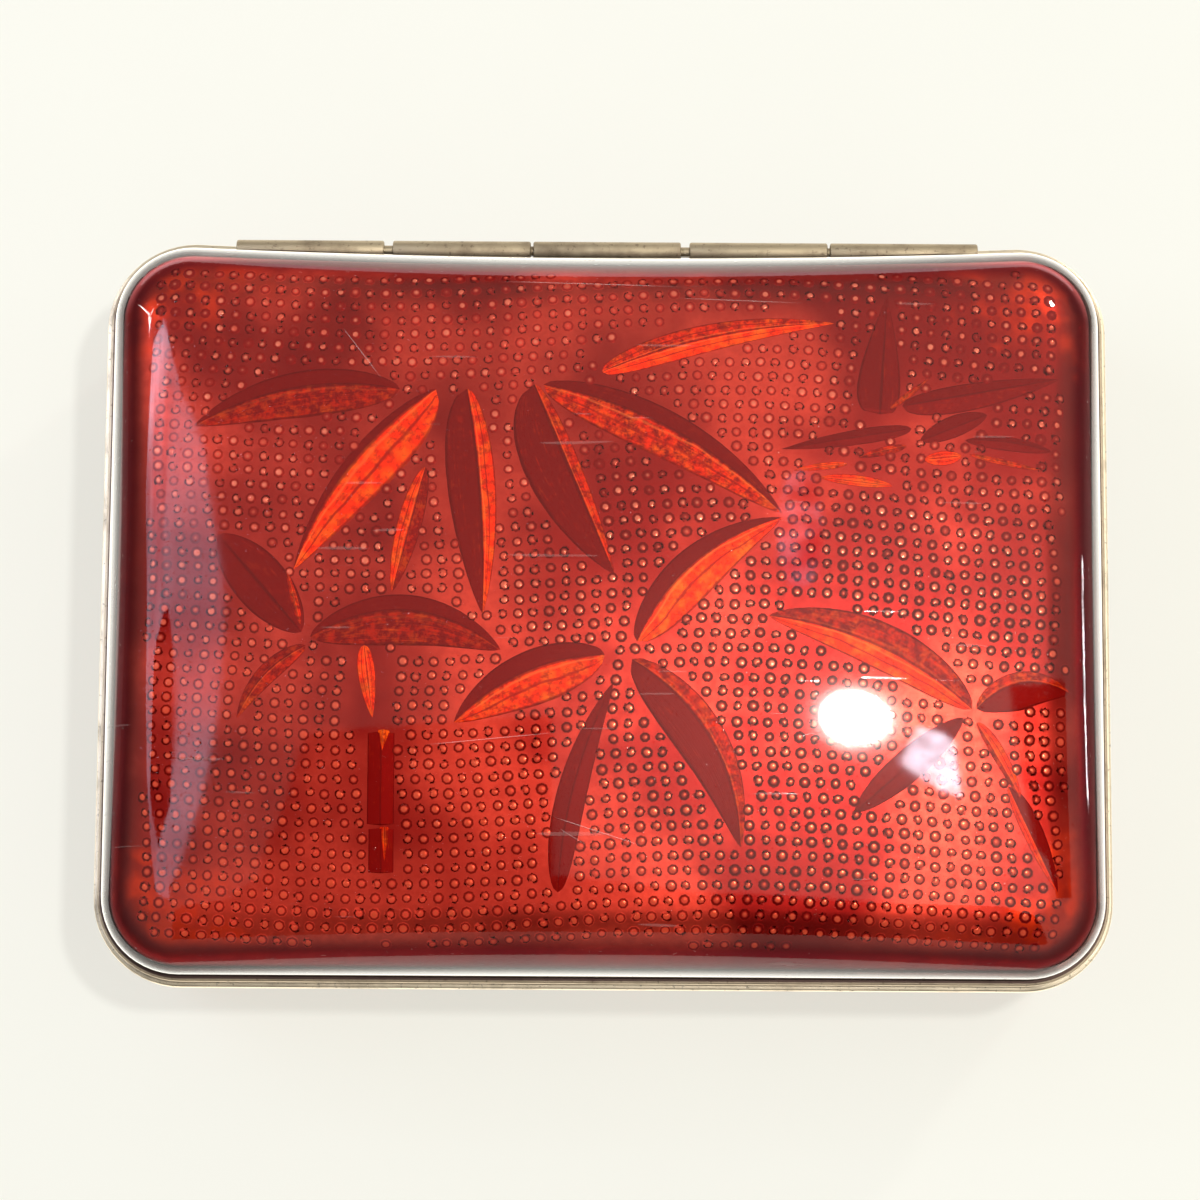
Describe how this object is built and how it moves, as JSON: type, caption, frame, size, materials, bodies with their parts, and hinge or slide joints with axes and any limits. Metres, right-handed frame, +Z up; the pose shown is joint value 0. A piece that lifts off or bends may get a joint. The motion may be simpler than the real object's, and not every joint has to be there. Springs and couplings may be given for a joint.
{
  "type": "hinged keepsake box",
  "caption": "Low rectangular enamelled metal box with rounded corners, a domed lid over an embossed foil, metal rims and a full-length barrel hinge at the back.",
  "frame": {"origin": "the flat resting face, under the middle of the body", "axes": "+X to the right along the width, -Y towards the front, +Y towards the hinge at the back, +Z up"},
  "size_m": [0.114, 0.0855, 0.038],
  "materials": {
    "red_enamel": "polished",
    "foil": "embossed",
    "copper": "satin",
    "lining_enamel": "gloss",
    "base_enamel": "gloss",
    "lid_rim": "worn satin",
    "brass": "worn satin"
  },
  "bodies": {
    "body": {"body_copper_pan": "copper", "body_embossed_foil": "foil", "body_red_enamel": "red_enamel", "body_lining_enamel": "lining_enamel", "body_base_enamel": "base_enamel", "body_rim": "brass", "body_knuckle_left": "brass", "body_knuckle_centre": "brass", "body_knuckle_right": "brass", "hinge_pin": "brass"},
    "lid": {"lid_copper_pan": "copper", "lid_embossed_foil": "foil", "lid_red_enamel": "red_enamel", "lid_lining_enamel": "lining_enamel", "lid_rim": "lid_rim", "lid_knuckle_left": "brass", "lid_knuckle_right": "brass"}
  },
  "joints": [
    {"name": "lid_hinge", "type": "hinge", "parent": "body", "child": "lid", "pos_m": [0, 0.0419, 0.02505], "axis": [-1, 0, 0], "range_deg": [0, 100]}
  ]
}
